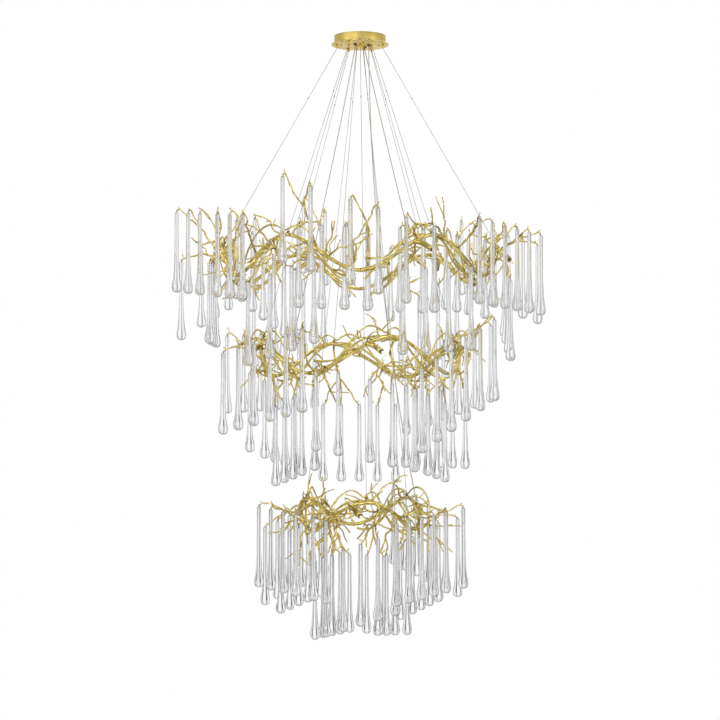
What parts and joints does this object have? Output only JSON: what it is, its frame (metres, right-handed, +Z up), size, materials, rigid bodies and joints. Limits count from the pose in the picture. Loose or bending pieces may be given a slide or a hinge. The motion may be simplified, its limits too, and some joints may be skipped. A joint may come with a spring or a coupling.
{
  "type": "crystal chandelier",
  "caption": "Tiered chandelier: a round ceiling canopy, thin wires, waving rings of gilt twigs and long clear glass drops.",
  "frame": {"origin": "centre of the canopy's top face, where it meets the ceiling", "axes": "+Z up, out of the top face into the ceiling; -Y is the pictured front, +X its right"},
  "size_m": [1.1902, 1.1064, 1.9434],
  "materials": {
    "polished_gold": "polished",
    "brushed_gold": "brushed",
    "grip_gold": "satin",
    "zinc_steel": "satin",
    "steel_wire": "satin",
    "clear_cable": "gloss",
    "dark_plastic": "satin",
    "dark_socket": "satin",
    "white_plastic": "satin",
    "terminal_plastic": "satin",
    "warm_lamp": "frosted",
    "clear_glass": "polished"
  },
  "bodies": {
    "fixture": {"cable_glands": "dark_plastic", "canopy_drum": "brushed_gold", "canopy_face_plate": "brushed_gold", "canopy_screws": "brushed_gold", "ceiling_bracket": "zinc_steel", "lamp_sockets": "dark_socket", "led_bulbs": "warm_lamp", "led_driver": "white_plastic", "lower_branch_1": "polished_gold", "lower_branch_2": "polished_gold", "lower_branch_3": "polished_gold", "middle_branch_1": "polished_gold", "middle_branch_2": "polished_gold", "middle_branch_3": "polished_gold", "middle_branch_4": "polished_gold", "power_cables": "clear_cable", "suspension_wires": "steel_wire", "terminal_block": "terminal_plastic", "upper_branch_1": "polished_gold", "upper_branch_2": "polished_gold", "upper_branch_3": "polished_gold", "upper_branch_4": "polished_gold", "upper_branch_5": "polished_gold", "upper_branch_6": "polished_gold", "wire_grips": "grip_gold"},
    "lower_inner_drops_1": {"lower_inner_drops_1": "clear_glass"},
    "lower_inner_drops_2": {"lower_inner_drops_2": "clear_glass"},
    "lower_inner_drops_3": {"lower_inner_drops_3": "clear_glass"},
    "lower_outer_drops_1": {"lower_outer_drops_1": "clear_glass"},
    "lower_outer_drops_2": {"lower_outer_drops_2": "clear_glass"},
    "lower_outer_drops_3": {"lower_outer_drops_3": "clear_glass"},
    "lower_outer_drops_4": {"lower_outer_drops_4": "clear_glass"},
    "lower_under_drops_1": {"lower_under_drops_1": "clear_glass"},
    "lower_under_drops_2": {"lower_under_drops_2": "clear_glass"},
    "lower_under_drops_3": {"lower_under_drops_3": "clear_glass"},
    "middle_inner_drops_1": {"middle_inner_drops_1": "clear_glass"},
    "middle_inner_drops_2": {"middle_inner_drops_2": "clear_glass"},
    "middle_inner_drops_3": {"middle_inner_drops_3": "clear_glass"},
    "middle_outer_drops_1": {"middle_outer_drops_1": "clear_glass"},
    "middle_outer_drops_2": {"middle_outer_drops_2": "clear_glass"},
    "middle_outer_drops_3": {"middle_outer_drops_3": "clear_glass"},
    "middle_outer_drops_4": {"middle_outer_drops_4": "clear_glass"},
    "middle_under_drops_1": {"middle_under_drops_1": "clear_glass"},
    "middle_under_drops_2": {"middle_under_drops_2": "clear_glass"},
    "middle_under_drops_3": {"middle_under_drops_3": "clear_glass"},
    "upper_inner_drops_1": {"upper_inner_drops_1": "clear_glass"},
    "upper_inner_drops_2": {"upper_inner_drops_2": "clear_glass"},
    "upper_inner_drops_3": {"upper_inner_drops_3": "clear_glass"},
    "upper_outer_drops_1": {"upper_outer_drops_1": "clear_glass"},
    "upper_outer_drops_2": {"upper_outer_drops_2": "clear_glass"},
    "upper_outer_drops_3": {"upper_outer_drops_3": "clear_glass"},
    "upper_outer_drops_4": {"upper_outer_drops_4": "clear_glass"},
    "upper_outer_drops_5": {"upper_outer_drops_5": "clear_glass"},
    "upper_outer_drops_6": {"upper_outer_drops_6": "clear_glass"},
    "upper_under_drops_1": {"upper_under_drops_1": "clear_glass"},
    "upper_under_drops_2": {"upper_under_drops_2": "clear_glass"},
    "upper_under_drops_3": {"upper_under_drops_3": "clear_glass"},
    "upper_under_drops_4": {"upper_under_drops_4": "clear_glass"},
    "upper_under_drops_5": {"upper_under_drops_5": "clear_glass"},
    "upper_under_drops_6": {"upper_under_drops_6": "clear_glass"}
  },
  "joints": [
    {"name": "lower_inner_swing_1", "type": "hinge", "parent": "fixture", "child": "lower_inner_drops_1", "pos_m": [0.10389, -0.05606, -1.6655], "axis": [0.4983, 0.863, -0.0833], "range_deg": [-4, 4]},
    {"name": "lower_inner_swing_2", "type": "hinge", "parent": "fixture", "child": "lower_inner_drops_2", "pos_m": [-0.00623, 0.118, -1.67721], "axis": [-0.9983, 0, 0.058], "range_deg": [-4, 4]},
    {"name": "lower_inner_swing_3", "type": "hinge", "parent": "fixture", "child": "lower_inner_drops_3", "pos_m": [-0.10363, -0.05651, -1.67051], "axis": [0.4903, -0.8493, 0.1958], "range_deg": [-4, 4]},
    {"name": "lower_outer_swing_1", "type": "hinge", "parent": "fixture", "child": "lower_outer_drops_1", "pos_m": [0.2191, -0.20941, -1.53109], "axis": [0.7019, 0.7019, 0.1211], "range_deg": [-4, 4]},
    {"name": "lower_outer_swing_2", "type": "hinge", "parent": "fixture", "child": "lower_outer_drops_2", "pos_m": [0.21578, 0.21273, -1.51274], "axis": [-0.6752, 0.6752, 0.2968], "range_deg": [-4, 4]},
    {"name": "lower_outer_swing_3", "type": "hinge", "parent": "fixture", "child": "lower_outer_drops_3", "pos_m": [-0.21464, 0.21387, -1.54437], "axis": [-0.6772, -0.6772, -0.2876], "range_deg": [-4, 4]},
    {"name": "lower_outer_swing_4", "type": "hinge", "parent": "fixture", "child": "lower_outer_drops_4", "pos_m": [-0.21186, -0.21665, -1.52472], "axis": [0.7028, -0.7028, -0.1108], "range_deg": [-4, 4]},
    {"name": "lower_under_swing_1", "type": "hinge", "parent": "fixture", "child": "lower_under_drops_1", "pos_m": [0.00173, -0.226, -1.61963], "axis": [0.9556, 0, 0.2948], "range_deg": [-4, 4]},
    {"name": "lower_under_swing_2", "type": "hinge", "parent": "fixture", "child": "lower_under_drops_2", "pos_m": [0.19352, 0.11682, -1.60482], "axis": [-0.4744, 0.8216, -0.3161], "range_deg": [-4, 4]},
    {"name": "lower_under_swing_3", "type": "hinge", "parent": "fixture", "child": "lower_under_drops_3", "pos_m": [-0.19348, 0.11688, -1.58594], "axis": [-0.4955, -0.8583, -0.1337], "range_deg": [-4, 4]},
    {"name": "middle_inner_swing_1", "type": "hinge", "parent": "fixture", "child": "middle_inner_drops_1", "pos_m": [0.20758, -0.12046, -1.15296], "axis": [0.4901, 0.8489, -0.198], "range_deg": [-4, 4]},
    {"name": "middle_inner_swing_2", "type": "hinge", "parent": "fixture", "child": "middle_inner_drops_2", "pos_m": [-0.00248, 0.24, -1.18519], "axis": [-1, 0, 0.0058], "range_deg": [-4, 4]},
    {"name": "middle_inner_swing_3", "type": "hinge", "parent": "fixture", "child": "middle_inner_drops_3", "pos_m": [-0.20516, -0.12466, -1.16419], "axis": [0.489, -0.8469, 0.2088], "range_deg": [-4, 4]},
    {"name": "middle_outer_swing_1", "type": "hinge", "parent": "fixture", "child": "middle_outer_drops_1", "pos_m": [0.30279, -0.29825, -0.99902], "axis": [0.6378, 0.6378, 0.4318], "range_deg": [-4, 4]},
    {"name": "middle_outer_swing_2", "type": "hinge", "parent": "fixture", "child": "middle_outer_drops_2", "pos_m": [0.2956, 0.30544, -0.97656], "axis": [-0.68, 0.68, -0.2743], "range_deg": [-4, 4]},
    {"name": "middle_outer_swing_3", "type": "hinge", "parent": "fixture", "child": "middle_outer_drops_3", "pos_m": [-0.29722, 0.30382, -0.94838], "axis": [-0.7063, -0.7063, -0.0491], "range_deg": [-4, 4]},
    {"name": "middle_outer_swing_4", "type": "hinge", "parent": "fixture", "child": "middle_outer_drops_4", "pos_m": [-0.30121, -0.29983, -0.99081], "axis": [0.6951, -0.6951, 0.1837], "range_deg": [-4, 4]},
    {"name": "middle_under_swing_1", "type": "hinge", "parent": "fixture", "child": "middle_under_drops_1", "pos_m": [0.01603, -0.3176, -1.1064], "axis": [0.9771, 0.0512, -0.2066], "range_deg": [-4, 4]},
    {"name": "middle_under_swing_2", "type": "hinge", "parent": "fixture", "child": "middle_under_drops_2", "pos_m": [0.26514, 0.1756, -1.13741], "axis": [-0.5446, 0.8387, 0.0061], "range_deg": [-4, 4]},
    {"name": "middle_under_swing_3", "type": "hinge", "parent": "fixture", "child": "middle_under_drops_3", "pos_m": [-0.28616, 0.13884, -1.11694], "axis": [-0.4431, -0.8696, 0.2179], "range_deg": [-4, 4]},
    {"name": "upper_inner_swing_1", "type": "hinge", "parent": "fixture", "child": "upper_inner_drops_1", "pos_m": [0.00255, -0.352, -0.64677], "axis": [0.999, 0, -0.0452], "range_deg": [-4, 4]},
    {"name": "upper_inner_swing_2", "type": "hinge", "parent": "fixture", "child": "upper_inner_drops_2", "pos_m": [0.30916, 0.16853, -0.62217], "axis": [-0.4928, 0.8535, 0.1695], "range_deg": [-4, 4]},
    {"name": "upper_inner_swing_3", "type": "hinge", "parent": "fixture", "child": "upper_inner_drops_3", "pos_m": [-0.30928, 0.1683, -0.65925], "axis": [-0.466, -0.8071, 0.3627], "range_deg": [-4, 4]},
    {"name": "upper_outer_swing_1", "type": "hinge", "parent": "fixture", "child": "upper_outer_drops_1", "pos_m": [-0.0045, -0.538, -0.58941], "axis": [0.9504, 0, -0.311], "range_deg": [-4, 4]},
    {"name": "upper_outer_swing_2", "type": "hinge", "parent": "fixture", "child": "upper_outer_drops_2", "pos_m": [0.46573, -0.26934, -0.64031], "axis": [0.4997, 0.8655, -0.0345], "range_deg": [-4, 4]},
    {"name": "upper_outer_swing_3", "type": "hinge", "parent": "fixture", "child": "upper_outer_drops_3", "pos_m": [0.46401, 0.27231, -0.60878], "axis": [-0.4841, 0.8385, 0.25], "range_deg": [-4, 4]},
    {"name": "upper_outer_swing_4", "type": "hinge", "parent": "fixture", "child": "upper_outer_drops_4", "pos_m": [0.00885, 0.538, -0.58409], "axis": [-0.8759, 0, 0.4825], "range_deg": [-4, 4]},
    {"name": "upper_outer_swing_5", "type": "hinge", "parent": "fixture", "child": "upper_outer_drops_5", "pos_m": [-0.4718, 0.25882, -0.63331], "axis": [-0.4648, -0.8051, -0.3685], "range_deg": [-4, 4]},
    {"name": "upper_outer_swing_6", "type": "hinge", "parent": "fixture", "child": "upper_outer_drops_6", "pos_m": [-0.46663, -0.26778, -0.59795], "axis": [0.4973, -0.8614, -0.1031], "range_deg": [-4, 4]},
    {"name": "upper_under_swing_1", "type": "hinge", "parent": "fixture", "child": "upper_under_drops_1", "pos_m": [0.23235, -0.41318, -0.7766], "axis": [0.864, 0.4988, 0.0684], "range_deg": [-4, 4]},
    {"name": "upper_under_swing_2", "type": "hinge", "parent": "fixture", "child": "upper_under_drops_2", "pos_m": [0.474, -0.00126, -0.75068], "axis": [0, 0.9501, 0.3118], "range_deg": [-4, 4]},
    {"name": "upper_under_swing_3", "type": "hinge", "parent": "fixture", "child": "upper_under_drops_3", "pos_m": [0.23489, 0.41171, -0.79354], "axis": [-0.7708, 0.445, -0.4558], "range_deg": [-4, 4]},
    {"name": "upper_under_swing_4", "type": "hinge", "parent": "fixture", "child": "upper_under_drops_4", "pos_m": [-0.24271, 0.4072, -0.76798], "axis": [-0.8397, -0.4848, -0.2448], "range_deg": [-4, 4]},
    {"name": "upper_under_swing_5", "type": "hinge", "parent": "fixture", "child": "upper_under_drops_5", "pos_m": [-0.474, 0.00634, -0.74039], "axis": [0, -1, 0.0072], "range_deg": [-4, 4]},
    {"name": "upper_under_swing_6", "type": "hinge", "parent": "fixture", "child": "upper_under_drops_6", "pos_m": [-0.23891, -0.40939, -0.78296], "axis": [0.8367, -0.4831, 0.2579], "range_deg": [-4, 4]}
  ]
}
